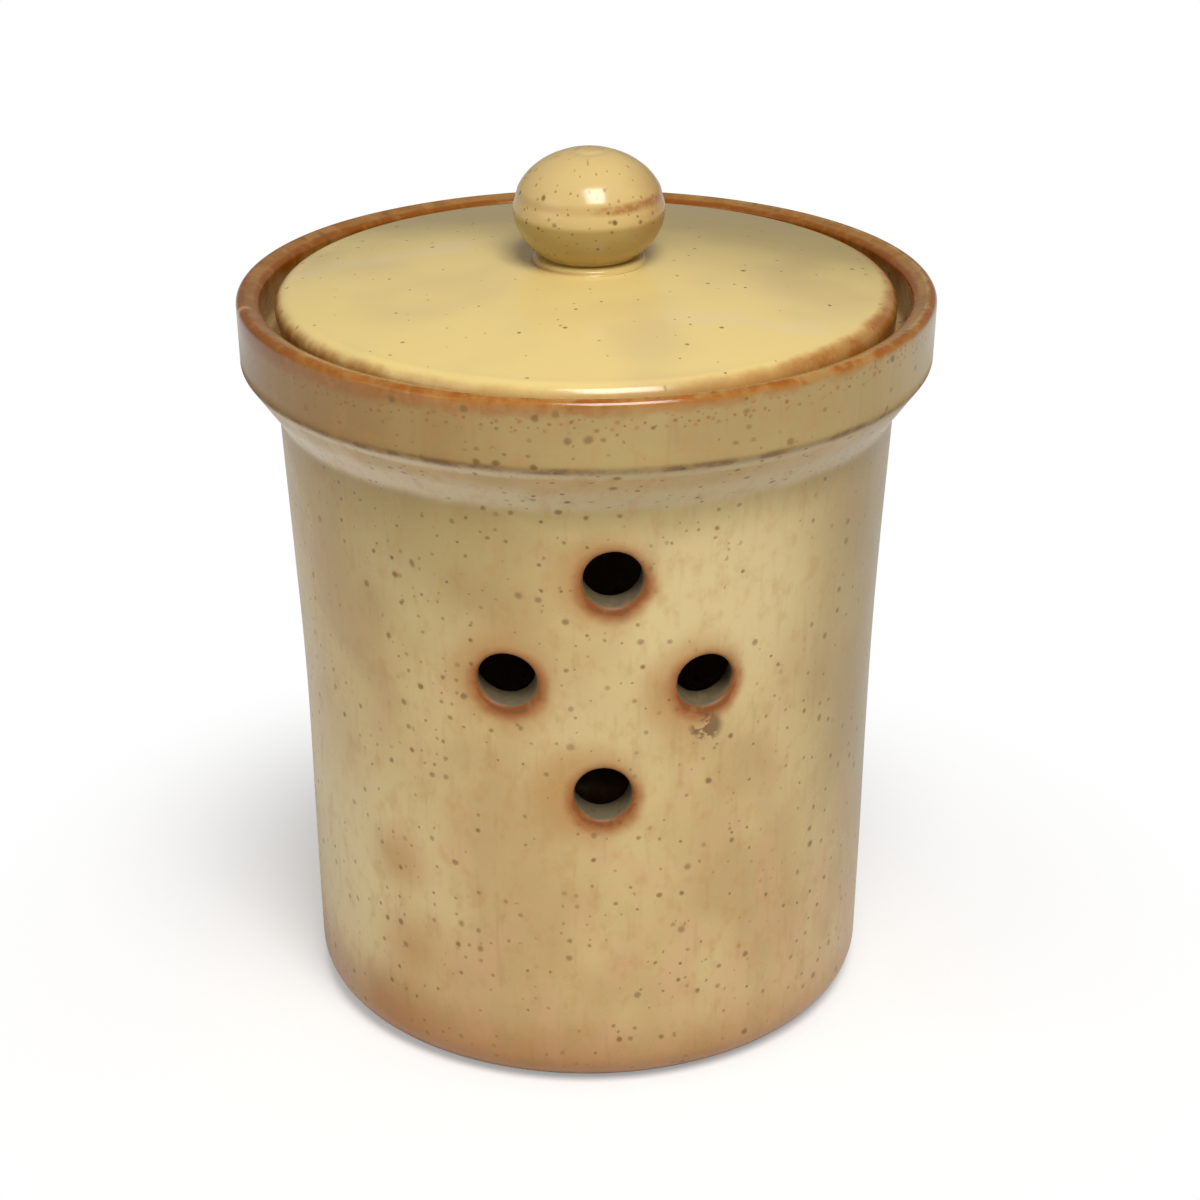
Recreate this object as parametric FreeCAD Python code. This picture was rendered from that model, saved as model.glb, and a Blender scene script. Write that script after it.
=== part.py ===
import FreeCAD, Part
import math
import os

# Ventilated stoneware storage jar with a knobbed lid resting in its collar.
# Millimetres, +Z up, the jar stands on z = 0 and its axis is the Z axis.
# The vent holes face -Y.

# ---- jar: outside, each radius a step in or out from the shoulder's
jar_height = 120.6
shoulder_radius = 49.2
base_step = 3.2
waist_step = 2.1
lip_step = 6.1
collar_lean = 0.3
waist_level = 0.50 * jar_height
shoulder_level = 0.848 * jar_height
collar_level = 0.9045 * jar_height
base_round = 4.8
body_round = 600.0
shoulder_fillet = 2.0
collar_round = 2.2

# ---- jar: foot under the base
foot_width = 6.0
foot_recess = 1.5

# ---- jar: inside
floor_level = 7.0
floor_fillet = 6.0
base_wall = 6.2
waist_wall = 5.8
shoulder_wall = 5.0
lip_wall = 3.8
lip_drop = 1.3
lip_outer_round = 1.2
lip_inner_round = 0.9
gallery_depth = 8.4
gallery_fillet = 1.3

# ---- lid
lid_gap = 2.3
lid_edge_height = 7.7
lid_shoulder_round = 2.6
lid_seat_round = 1.0
dome_rise = 4.2
lid_wall = 6.6
lid_rim_width = 6.6
lid_hollow_rise = 2.8
lid_hollow_fillet = 2.0

# ---- knob, standing on a small ring in the middle of the lid
knob_radius = 11.95
knob_half_height = 9.4
crown_radius = 3.5
groove_rise = 3.1
groove_height = 2.2
groove_depth = 0.3
neck_radius = 7.1
ring_radius = 8.9
ring_height = 0.9
ring_round = 0.55
nub_radius = 2.2
nub_height = 0.3

# ---- vent holes: distance to the right, height, diameter
vents = (
    (0.8, 89.8, 9.1),
    (-14.9, 72.5, 8.8),
    (14.9, 71.4, 8.6),
    (-0.6, 53.4, 8.8),
)
vent_edge = 0.6

# ---- levels and radii that follow from the sizes above
base_radius = shoulder_radius - base_step
waist_radius = shoulder_radius - waist_step
mouth_radius = shoulder_radius - shoulder_wall
lip_radius = shoulder_radius + lip_step
collar_radius = lip_radius - collar_lean
gallery_level = jar_height - gallery_depth
collar_bore = lip_radius - lip_wall
lid_radius = collar_bore - lid_gap
lid_edge_level = gallery_level + lid_edge_height
dome_top = lid_edge_level + dome_rise
dome_sphere = (lid_radius ** 2 + dome_rise ** 2) / (2.0 * dome_rise)


def point(radius, level):
    """A point of a half section, in the XZ plane."""
    return FreeCAD.Vector(radius, 0.0, level)


def dome_level(radius):
    """Height of the lid's domed top at a distance from the axis."""
    return dome_top - dome_sphere + math.sqrt(dome_sphere ** 2 - radius ** 2)


def rounded_path(corners):
    """Edges through corners given as (radius, level, rounding)."""
    edges = []
    start = point(corners[0][0], corners[0][1])
    for index in range(1, len(corners) - 1):
        before = point(corners[index - 1][0], corners[index - 1][1])
        corner = point(corners[index][0], corners[index][1])
        after = point(corners[index + 1][0], corners[index + 1][1])
        towards = (before - corner).normalize()
        away = (after - corner).normalize()
        half = towards.getAngle(away) / 2.0
        rounding = corners[index][2]
        if rounding > 0.0:
            run = rounding / math.tan(half)
            middle = (towards + away).normalize()
            reach = rounding / math.sin(half) - rounding
            arc_start = corner + towards * run
            arc_end = corner + away * run
            edges.append(Part.makeLine(start, arc_start))
            arc = Part.Arc(arc_start, corner + middle * reach, arc_end)
            edges.append(arc.toShape())
            start = arc_end
        else:
            edges.append(Part.makeLine(start, corner))
            start = corner
    end = point(corners[-1][0], corners[-1][1])
    edges.append(Part.makeLine(start, end))
    return edges


def turn(edges):
    """Solid of revolution about Z from edges that start and end on it."""
    first = edges[0].firstVertex(True).Point
    last = edges[-1].lastVertex(True).Point
    closed = edges + [Part.makeLine(last, first)]
    face = Part.Face(Part.Wire(closed))
    axis = FreeCAD.Vector(0, 0, 1)
    return face.revolve(FreeCAD.Vector(0, 0, 0), axis, 360.0)


def jar_body():
    """The jar without its vent holes, outside first and then the inside."""
    foot_inner = base_radius - base_round - foot_width
    corners = [
        (0.0, foot_recess, 0.0),
        (foot_inner - foot_recess, foot_recess, 0.0),
        (foot_inner, 0.0, 0.0),
        (base_radius, 0.0, base_round),
        (waist_radius, waist_level, body_round),
        (shoulder_radius, shoulder_level, shoulder_fillet),
        (collar_radius, collar_level, collar_round),
        (lip_radius, jar_height, lip_outer_round),
        (collar_bore, jar_height - lip_drop, lip_inner_round),
        (collar_bore, gallery_level, gallery_fillet),
        (mouth_radius, gallery_level, 0.0),
        (mouth_radius, shoulder_level, 0.0),
        (waist_radius - waist_wall, waist_level, body_round),
        (base_radius - base_wall, floor_level, floor_fillet),
        (0.0, floor_level, 0.0),
    ]
    return turn(rounded_path(corners))


def vent_bore(across, level, diameter):
    """A straight bore through the front wall."""
    length = shoulder_radius
    start = FreeCAD.Vector(across, -2.0 * length, level)
    return Part.makeCylinder(diameter / 2.0, 2.0 * length, start, FreeCAD.Vector(0, 1, 0))


def vent_rims(body):
    """The outer and inner edges of every vent hole."""
    rims = []
    for edge in body.Edges:
        box = edge.BoundBox
        for across, level, diameter in vents:
            near_x = abs((box.XMin + box.XMax) / 2.0 - across) < 0.3
            near_z = abs((box.ZMin + box.ZMax) / 2.0 - level) < 0.3
            full = abs(box.XLength - diameter) < 0.3
            if near_x and near_z and full and box.YMax < 0.0:
                rims.append(edge)
    return rims


def make_jar():
    body = jar_body()
    for across, level, diameter in vents:
        body = body.cut(vent_bore(across, level, diameter))
    return body.makeFillet(vent_edge, vent_rims(body))


def knob_edges(centre):
    """Nub, crown, grooved ball and neck of the knob, from the top down."""
    ball = Part.Ellipse(
        point(knob_radius, centre),
        point(0.0, centre + knob_half_height),
        point(0.0, centre),
    )
    crown_angle = math.acos(crown_radius / knob_radius)
    groove_angle = math.asin(groove_rise / knob_half_height)
    belt_angle = math.asin((groove_rise - groove_height) / knob_half_height)
    neck_angle = -math.acos(neck_radius / knob_radius)
    crown = centre + knob_half_height * math.sin(crown_angle)
    cap = Part.ArcOfEllipse(ball, groove_angle, crown_angle).toShape()
    bowl = Part.ArcOfEllipse(ball, neck_angle, belt_angle).toShape()
    cap.reverse()
    bowl.reverse()
    groove_top = point(knob_radius * math.cos(groove_angle), centre + groove_rise)
    belt_top = point(knob_radius * math.cos(belt_angle), centre + groove_rise - groove_height)
    groove_foot = groove_top - point(groove_depth / 4.0, groove_height / 4.0)
    return [
        Part.makeLine(point(0.0, crown + nub_height), point(nub_radius, crown + nub_height)),
        Part.makeLine(point(nub_radius, crown + nub_height), point(nub_radius, crown)),
        Part.makeLine(point(nub_radius, crown), point(crown_radius, crown)),
        cap,
        Part.makeLine(groove_top, groove_foot),
        Part.makeLine(groove_foot, belt_top),
        bowl,
    ]


def make_lid():
    ring_top = dome_level(ring_radius) + ring_height
    neck_drop = knob_half_height * math.sin(math.acos(neck_radius / knob_radius))
    centre = ring_top + neck_drop
    ring = rounded_path([
        (neck_radius, ring_top, 0.0),
        (ring_radius, ring_top, ring_round),
        (ring_radius, dome_level(ring_radius), 0.0),
    ])
    dome_end = lid_radius - lid_shoulder_round
    dome = Part.Arc(
        point(ring_radius, dome_level(ring_radius)),
        point(0.6 * dome_end, dome_level(0.6 * dome_end)),
        point(dome_end, dome_level(dome_end)),
    ).toShape()
    shoulder_top = dome_level(dome_end)
    shoulder_centre = shoulder_top - lid_shoulder_round
    lean = math.radians(50.0)
    shoulder = Part.Arc(
        point(dome_end, shoulder_top),
        point(
            dome_end + lid_shoulder_round * math.cos(lean),
            shoulder_centre + lid_shoulder_round * math.sin(lean),
        ),
        point(lid_radius, shoulder_centre),
    ).toShape()
    hollow = lid_radius - lid_rim_width
    underside = rounded_path([
        (lid_radius, shoulder_centre, 0.0),
        (lid_radius - 0.4, gallery_level, lid_seat_round),
        (hollow, gallery_level, lid_seat_round),
        (hollow - 1.2, gallery_level + lid_hollow_rise, lid_hollow_fillet),
        (0.0, dome_top - lid_wall, 0.0),
    ])
    return turn(knob_edges(centre) + ring + [dome, shoulder] + underside)


os.makedirs("parts", exist_ok=True)
for name, shape in (("jar", make_jar()), ("lid", make_lid())):
    solid = shape.Solids[0]
    print(name, len(shape.Solids), "solid", round(solid.Volume), "mm3", solid.BoundBox)
    solid.exportStep("parts/" + name + ".step")
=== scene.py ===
"""Looks of a ventilated stoneware storage jar: its glazed body, its knobbed lid and the studio round them."""

import math

import bmesh
import bpy
from bpy.props import FloatProperty, FloatVectorProperty, IntProperty, PointerProperty
from mathutils import Matrix, Vector


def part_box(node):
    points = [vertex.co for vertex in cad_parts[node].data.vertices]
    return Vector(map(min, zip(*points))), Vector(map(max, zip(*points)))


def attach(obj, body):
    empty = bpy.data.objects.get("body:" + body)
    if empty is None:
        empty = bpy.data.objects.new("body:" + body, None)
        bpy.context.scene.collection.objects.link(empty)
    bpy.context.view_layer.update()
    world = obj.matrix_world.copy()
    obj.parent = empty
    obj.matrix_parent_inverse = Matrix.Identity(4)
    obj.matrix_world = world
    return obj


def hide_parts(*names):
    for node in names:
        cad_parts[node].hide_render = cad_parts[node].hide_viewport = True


bl_info = {
    "name": "Stoneware Storage Jar",
    "version": (1, 0, 0),
    "blender": (4, 5, 0),
    "location": "View3D > Sidebar > Storage Jar",
    "description": "Throws, pierces and glazes a ventilated stoneware jar with its knobbed lid",
    "category": "Object",
}

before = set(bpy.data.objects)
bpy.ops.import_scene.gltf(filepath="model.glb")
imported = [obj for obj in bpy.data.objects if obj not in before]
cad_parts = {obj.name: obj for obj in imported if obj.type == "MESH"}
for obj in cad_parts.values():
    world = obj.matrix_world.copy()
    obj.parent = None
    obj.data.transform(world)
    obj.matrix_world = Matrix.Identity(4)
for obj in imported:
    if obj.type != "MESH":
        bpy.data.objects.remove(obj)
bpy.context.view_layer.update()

MM = 0.001
JAR_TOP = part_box("jar")[1][2]
LID_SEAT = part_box("lid")[0][2]

# Vent holes in the front wall: distance to the right, height and diameter.
VENTS = (
    (0.8 * MM, 89.8 * MM, 9.1 * MM),
    (-14.9 * MM, 72.5 * MM, 8.8 * MM),
    (14.9 * MM, 71.4 * MM, 8.6 * MM),
    (-0.6 * MM, 53.4 * MM, 8.8 * MM),
)
WELD = 0.002 * MM  # points nearer than this become one
HALF_PATCH = 4  # rows of faces between a vent hole's axis and the edge of its patch

# Heights on the wall as shares of the jar's height.
WAIST_SHARE = 0.5
SHOULDER_SHARE = 0.84
COLLAR_SHARE = 0.908
COLLAR_EDGE = 109.4 * MM  # height of the crease under the collar, in the glaze

# Places in the glaze, in millimetres: warm blotches low on the wall with their
# sizes, and greyish wisps across the lid from end to end.
FOOT_BLOTCHES = (
    ((-30.2, -35.1, 20.2), 12.0),
    ((-32.4, -33.5, 36.0), 9.0),
    ((-33.0, -32.1, 7.2), 12.0),
)
WISPS = (
    ((-46.0, 5.0, 119.0), (-20.0, 11.0, 122.5)),
    ((13.0, -26.0, 122.2), (32.0, -27.0, 120.2)),
)

# The knob in millimetres: its nub as shares of the nub's radius and heights over
# the crown, the crown as radii and heights, and the belt as angles above the
# ball's middle and how proud of the ball each point stands.
CROWN_SHARE = 0.965  # of the ball's half height
NUB_RADIUS = 2.1
NUB = ((0.0, 0.30), (0.6, 0.31), (0.9, 0.25), (1.0, 0.08), (1.25, 0.0))
CROWN = ((3.2, -0.02), (3.9, -0.12))
BELT = (
    (20.0, 0.02), (17.5, -0.05), (15.0, -0.12), (12.0, -0.15), (9.0, -0.11),
    (6.0, -0.05), (3.0, 0.0), (0.5, 0.02), (-1.5, -0.01), (-3.5, -0.02),
)

# Lamps: bearing from the camera and rise in degrees, then distance, width and
# height in metres. All face the jar's middle.
KEY_LAMP = (14.5, 57.0, 1.2, 0.5, 0.65)
FILL_LAMP = (-62.0, 24.0, 1.4, 0.8, 0.8)
JAR_MIDDLE = (0.0, 0.0, 0.09)


def tone(red, green, blue):
    """A linear colour from the everyday 0 to 255 scale."""
    parts = [channel / 255.0 for channel in (red, green, blue)]
    linear = [c / 12.92 if c <= 0.04045 else ((c + 0.055) / 1.055) ** 2.4 for c in parts]
    return (*linear, 1.0)


def length(name, description, default):
    """A size that the sidebar shows as a length."""
    return FloatProperty(name=name, description=description, default=default, unit="LENGTH", precision=5)


def turned(name, description, degrees):
    """A turn that the sidebar shows as an angle."""
    return FloatProperty(name=name, description=description, default=math.radians(degrees), unit="ROTATION")


def number(name, description, default):
    """A plain number."""
    return FloatProperty(name=name, description=description, default=default)


def colour(name, description, *rgb):
    """A colour swatch with a default on the 0 to 255 scale."""
    return FloatVectorProperty(
        name=name, description=description, default=tone(*rgb), size=4, subtype="COLOR", min=0.0, max=1.0
    )


# ------------------------ settings


class JarSizes(bpy.types.PropertyGroup):
    """Sizes of the jar's turned wall."""

    height: length("Height", "Foot to the corner of the lip", JAR_TOP + 0.5 * MM)
    shoulder_radius: length("Shoulder radius", "Outside of the wall just under the collar", 49.2 * MM)
    waist_radius: length("Waist radius", "Outside of the wall half way up", 47.1 * MM)
    base_radius: length("Base radius", "Outside of the wall at the foot", 46.0 * MM)
    lip_radius: length("Lip radius", "Outside of the collar at the lip", 55.3 * MM)
    lip_wall: length("Lip wall", "Thickness of the collar's upper wall", 3.8 * MM)
    lip_drop: length("Lip drop", "How far the lip's top falls towards the inside", 1.3 * MM)
    gallery_depth: length("Gallery depth", "From the lip down to the ledge that carries the lid", 8.4 * MM)
    vent_round: length("Vent edge round", "Softening of the vent holes' edges", 0.75 * MM)
    around: IntProperty(name="Segments", description="Faces round the jar", default=192, min=48, max=320)
    wobble: length("Wobble", "How far the hand-turned wall wanders", 0.35 * MM)


class LidSizes(bpy.types.PropertyGroup):
    """Sizes of the lid and its knob."""

    radius: length("Radius", "Widest radius of the lid's edge", 49.2 * MM)
    dome_rise: length("Dome rise", "Height of the dome above the lid's edge", 4.2 * MM)
    edge_height: length("Edge height", "From the seat to the dome's own edge", 7.7 * MM)
    shoulder_round: length("Shoulder round", "Rounding between the dome and the edge", 2.6 * MM)
    knob_radius: length("Knob radius", "Half the knob's width", 11.95 * MM)
    knob_half_height: length("Knob half height", "Half the knob's height", 9.4 * MM)
    ring_radius: length("Ring radius", "Radius of the small ring the knob stands on", 8.9 * MM)
    neck_radius: length("Neck radius", "Where the ball meets the ring", 7.1 * MM)
    around: IntProperty(name="Segments", description="Faces round the lid", default=192, min=48, max=320)
    knob_shift: length("Knob shift", "How far to the right of the middle the knob was set", 0.5 * MM)


class GlazeColours(bpy.types.PropertyGroup):
    """Colours of the glaze and of the bare clay, some of them also laid as painted shade and painted
    reflection.
    """

    cream: colour("Cream", "Glaze on the lid, where it lies thick", 230, 204, 132)
    tan: colour("Tan", "Glaze over most of the wall and on the knob", 197, 165, 108)
    milk: colour("Milk", "Palest patches of the wall's glaze", 230, 208, 150)
    straw: colour("Straw", "Yellower patches of the glaze", 216, 190, 130)
    blush: colour("Blush", "Pinkish glaze, mostly low on the wall", 212, 166, 120)
    # Olive is real glaze tone on the collar and the lip. It is also painted shade under the collar, on the
    # wall's upper left and sides, on the collar's left, on the knob's lower half and towards the lid's back.
    olive_and_shade: colour("Olive", "Greener glaze on the collar, the wall's sides and the lid's back", 152, 130, 70)
    # Ash in the cove under the collar is a painted reflection of the pale floor. On the lid it lies in
    # greyish wisps.
    ash_and_reflection: colour("Ash", "Greyish glaze in the cove under the collar and in wisps on the lid", 224, 203, 166)
    rust: colour("Rust", "Iron breaking through on edges and round the vents", 154, 82, 4)
    caramel: colour("Caramel", "Thin glaze over iron on edges and in warm blotches", 186, 134, 68)
    umber_and_shade: colour("Umber", "Darkest iron along rims and creases", 96, 50, 2)
    freckle: colour("Freckle", "Small soft iron speckles", 128, 94, 22)
    # Umber is real iron along the vents' rims, in a smudge and in the dark hem. It is also painted shade in
    # the crease under the collar and on the lip's sides and back.
    speck: colour("Speck", "Dark iron specks", 108, 72, 4)
    bisque: colour("Bisque", "Pale clay where the glaze is chipped", 224, 178, 136)
    clay: colour("Clay", "Bare fired clay on the foot, in the vents and on the lid's seat", 112, 102, 78)


class StudioSettings(bpy.types.PropertyGroup):
    """Camera and lamps."""

    camera_reach: length("Camera reach", "Level distance from the axis to the camera", 427.1 * MM)
    camera_height: length("Camera height", "Height of the camera above the floor", 254.84 * MM)
    camera_turn: turned("Camera turn", "Camera's place round the jar", -3.6)
    camera_tilt: turned("Camera tilt", "How far the camera looks down", 23.95)
    camera_roll: turned("Camera roll", "Turn about the line of sight", -0.22)
    lens: number("Lens", "Focal length in millimetres on a 36 mm frame", 84.3)
    shift_across: number("Shift across", "The lens's shift to the right, as a share of the frame", 0.0105)
    shift_up: number("Shift up", "The lens's shift upwards, as a share of the frame", 0.0004)
    key_power: number("Key power", "Power of the softbox high at front right", 13.0)
    fill_power: number("Fill power", "Power of the panel at the left", 1.6)
    sky: number("Sky", "Strength of the even light all round", 0.26)


# ------------------------ turning


def clear_selection():
    """Nothing selected, object mode."""
    if bpy.context.object and bpy.context.object.mode != "OBJECT":
        bpy.ops.object.mode_set(mode="OBJECT")
    bpy.ops.object.select_all(action="DESELECT")


def take_up(piece):
    """Selects one piece alone and makes it active."""
    clear_selection()
    piece.select_set(True)
    bpy.context.view_layer.objects.active = piece


def rounded_outline(corners, spacing):
    """Points along a half section whose corners are (radius, height, rounding)."""
    sharpest_turn = math.radians(11.0)
    points = [Vector(corners[0][:2])]

    def run_to(end):
        """Adds evenly spaced points up to an end point."""
        start = points[-1]
        steps = max(1, math.ceil((end - start).length / spacing))
        for step in range(1, steps + 1):
            points.append(start.lerp(end, step / steps))

    for before, corner, after in zip(corners, corners[1:], corners[2:]):
        tip = Vector(corner[:2])
        back = (Vector(before[:2]) - tip).normalized()
        ahead = (Vector(after[:2]) - tip).normalized()
        rounding = corner[2]
        if rounding == 0.0:
            run_to(tip)
            continue
        half = back.angle(ahead) / 2.0
        run_to(tip + back * (rounding / math.tan(half)))
        centre = tip + (back + ahead).normalized() * (rounding / math.sin(half))
        first = points[-1] - centre
        turn = math.pi - 2.0 * half
        if back.x * ahead.y - back.y * ahead.x > 0.0:
            turn = -turn
        by_turn = math.ceil(abs(turn) / sharpest_turn)
        by_length = math.ceil(abs(turn) * rounding / spacing)
        steps = max(3, by_turn, by_length)
        for step in range(1, steps + 1):
            angle = turn * step / steps
            cosine, sine = math.cos(angle), math.sin(angle)
            swung = Vector((first.x * cosine - first.y * sine, first.x * sine + first.y * cosine))
            points.append(centre + swung)
    run_to(Vector(corners[-1][:2]))
    return points


def turn_on_wheel(name, outline, around):
    """Spins a half section about the Z axis into a closed piece."""
    clear_selection()
    start = outline[0]
    bpy.ops.mesh.primitive_plane_add(size=MM, location=(0.0, 0.0, 0.0))
    piece = bpy.context.object
    piece.name = name
    piece.data.name = name
    bpy.ops.object.mode_set(mode="EDIT")
    bpy.ops.mesh.select_mode(type="VERT")
    bpy.ops.mesh.select_all(action="SELECT")
    bpy.ops.mesh.merge(type="CENTER")
    bpy.ops.transform.translate(value=(start.x, 0.0, start.y))
    for here, there in zip(outline, outline[1:]):
        step = there - here
        bpy.ops.mesh.extrude_vertices_move(TRANSFORM_OT_translate={"value": (step.x, 0.0, step.y)})
    bpy.ops.mesh.select_all(action="SELECT")
    bpy.ops.mesh.spin(steps=around, angle=2.0 * math.pi, center=(0.0, 0.0, 0.0), axis=(0.0, 0.0, 1.0))
    bpy.ops.mesh.select_all(action="SELECT")
    bpy.ops.mesh.remove_doubles(threshold=WELD)
    bpy.ops.mesh.normals_make_consistent(inside=False)
    bpy.ops.object.mode_set(mode="OBJECT")
    return piece


def wander(piece, amount, size, floor, ceiling):
    """Pushes a turned wall in and out a little, least at its foot and rim."""
    group = piece.vertex_groups.new(name="wander")
    middle = (floor + ceiling) / 2.0
    reach = (ceiling - floor) / 2.0
    for vertex in piece.data.vertices:
        share = max(0.0, 1.0 - ((vertex.co.z - middle) / reach) ** 4)
        group.add([vertex.index], share, "REPLACE")
    clouds = bpy.data.textures.new(piece.name + "_wander", "CLOUDS")
    clouds.noise_scale = size
    clouds.noise_depth = 1
    push = piece.modifiers.new("wander", "DISPLACE")
    push.texture = clouds
    push.texture_coords = "LOCAL"
    push.strength = amount
    push.mid_level = 0.5
    push.vertex_group = group.name
    take_up(piece)
    bpy.ops.object.modifier_apply(modifier=push.name)
    piece.vertex_groups.clear()


def dress(piece, node, material):
    """Gives a finished piece its glaze and its place in the frame."""
    take_up(piece)
    bpy.ops.object.shade_smooth_by_angle(angle=math.radians(40.0))
    piece.data.materials.clear()
    piece.data.materials.append(material)
    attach(piece, "root")
    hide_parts(node)


# ------------------------ vent holes


class Wall:
    """A turned wall's radius at each height, as straight runs between its corners."""

    def __init__(self, corners):
        self.corners = corners

    def radius(self, height):
        """The wall's radius at a height."""
        for (low_radius, low), (high_radius, high) in zip(self.corners, self.corners[1:]):
            if height <= high:
                share = (height - low) / (high - low)
                return low_radius + share * (high_radius - low_radius)
        return self.corners[-1][0]

    def depth(self, across, height):
        """How far in front of the axis the wall's front stands, as a Y value."""
        return -math.sqrt(self.radius(height) ** 2 - across**2)


def select_edges(piece, wanted):
    """Selects the edges that pass a test on the edge and its middle."""
    bpy.ops.mesh.select_mode(type="EDGE")
    bpy.ops.mesh.select_all(action="DESELECT")
    mesh = bmesh.from_edit_mesh(piece.data)
    for edge in mesh.edges:
        middle = (edge.verts[0].co + edge.verts[1].co) / 2.0
        if wanted(edge, middle):
            edge.select_set(True)
    bmesh.update_edit_mesh(piece.data)


def cut_window(piece, wall, across, height, around, row):
    """Takes a square patch out of one wall, about a vent hole's axis."""
    skin = 0.8 * MM
    column = 2.0 * math.pi / around
    bearing = math.asin(across / wall.radius(height))
    first_column = round(bearing / column - HALF_PATCH)
    low = height - HALF_PATCH * row
    high = height + HALF_PATCH * row
    bpy.ops.mesh.select_mode(type="FACE")
    bpy.ops.mesh.select_all(action="DESELECT")
    mesh = bmesh.from_edit_mesh(piece.data)
    for face in mesh.faces:
        centre = face.calc_center_median()
        on_wall = abs(math.hypot(centre.x, centre.y) - wall.radius(centre.z)) < skin
        index = math.floor(math.atan2(centre.x, -centre.y) / column)
        in_columns = first_column <= index < first_column + 2 * HALF_PATCH
        if on_wall and in_columns and low < centre.z < high:
            face.select_set(True)
    bmesh.update_edit_mesh(piece.data)
    bpy.ops.mesh.delete(type="FACE")


def near_front(middle, across, height, reach):
    """True for a place on the front within reach of a vent hole's axis."""
    return middle.y < 0.0 and abs(middle.x - across) < reach and abs(middle.z - height) < reach


def press_onto(piece, wall):
    """Moves the selected ring to the wall, straight along Y."""
    mesh = bmesh.from_edit_mesh(piece.data)
    for vertex in mesh.verts:
        if vertex.select:
            vertex.co.y = wall.depth(vertex.co.x, vertex.co.z)
    bmesh.update_edit_mesh(piece.data)


def bore_path(bore, rounding, thickness):
    """Radius and depth of each ring of a vent hole, from its front edge to its back edge."""
    quarter = [math.radians(angle) for angle in (22.5, 45.0, 67.5, 90.0)]
    front_edge = [(bore + rounding * (1.0 - math.sin(t)), rounding * (1.0 - math.cos(t))) for t in quarter]
    side = [(bore, share * thickness) for share in (0.35, 0.6)]
    side += [(bore, thickness - rounding)]
    back_edge = [
        (bore + rounding * (1.0 - math.cos(t)), thickness - rounding * (1.0 - math.sin(t))) for t in quarter
    ]
    return front_edge + side + back_edge


def pierce(piece, outer, inner, vent, rounding, around, row):
    """Opens one vent hole with softened edges through the front wall."""
    across, height, diameter = vent
    bore = diameter / 2.0
    ring = bore + rounding
    reach = 1.6 * HALF_PATCH * row
    on_ring = 0.3 * MM
    for wall in (outer, inner):
        cut_window(piece, wall, across, height, around, row)
    front = outer.depth(across, height)
    back = inner.depth(across, height)
    between = (outer.radius(height) + inner.radius(height)) / 2.0

    bpy.ops.mesh.select_mode(type="EDGE")
    bpy.ops.mesh.select_all(action="DESELECT")
    bpy.ops.mesh.primitive_circle_add(
        vertices=8 * HALF_PATCH,
        radius=ring,
        location=(across, front, height),
        rotation=(math.pi / 2.0, 0.0, 0.0),
    )
    press_onto(piece, outer)
    select_edges(
        piece,
        lambda edge, middle: len(edge.link_faces) < 2
        and near_front(middle, across, height, reach)
        and math.hypot(middle.x, middle.y) > between,
    )
    bpy.ops.mesh.bridge_edge_loops()

    select_edges(
        piece,
        lambda edge, middle: edge.is_boundary
        and near_front(middle, across, height, reach)
        and abs(math.hypot(middle.x - across, middle.z - height) - ring) < on_ring
        and math.hypot(middle.x, middle.y) > between,
    )
    radius, depth = ring, 0.0
    for next_radius, next_depth in bore_path(bore, rounding, back - front):
        bpy.ops.mesh.extrude_region_move(TRANSFORM_OT_translate={"value": (0.0, next_depth - depth, 0.0)})
        scale = next_radius / radius
        bpy.ops.transform.resize(
            value=(scale, 1.0, scale), center_override=(across, front + next_depth, height)
        )
        radius, depth = next_radius, next_depth
    press_onto(piece, inner)
    select_edges(
        piece, lambda edge, middle: edge.is_boundary and near_front(middle, across, height, reach)
    )
    bpy.ops.mesh.bridge_edge_loops()


# ------------------------ shading


class Signal:
    """One number coming out of a node, which Python arithmetic turns into Math nodes."""

    def __init__(self, recipe, socket):
        self.recipe = recipe
        self.socket = socket

    def _math(self, operation, first, second=0.0):
        return self.recipe.add("ShaderNodeMath", {"operation": operation}, {0: first, 1: second})

    def __add__(self, other):
        return self._math("ADD", self, other)

    def __radd__(self, other):
        return self._math("ADD", other, self)

    def __sub__(self, other):
        return self._math("SUBTRACT", self, other)

    def __rsub__(self, other):
        return self._math("SUBTRACT", other, self)

    def __mul__(self, other):
        return self._math("MULTIPLY", self, other)

    def __rmul__(self, other):
        return self._math("MULTIPLY", other, self)

    def __truediv__(self, other):
        return self._math("DIVIDE", self, other)

    def __rtruediv__(self, other):
        return self._math("DIVIDE", other, self)

    def __pow__(self, other):
        return self._math("POWER", self, other)

    def __abs__(self):
        return self._math("ABSOLUTE", self)

    def most(self, other):
        """The larger of two numbers."""
        return self._math("MAXIMUM", self, other)

    def least(self, other):
        """The smaller of two numbers."""
        return self._math("MINIMUM", self, other)


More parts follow.
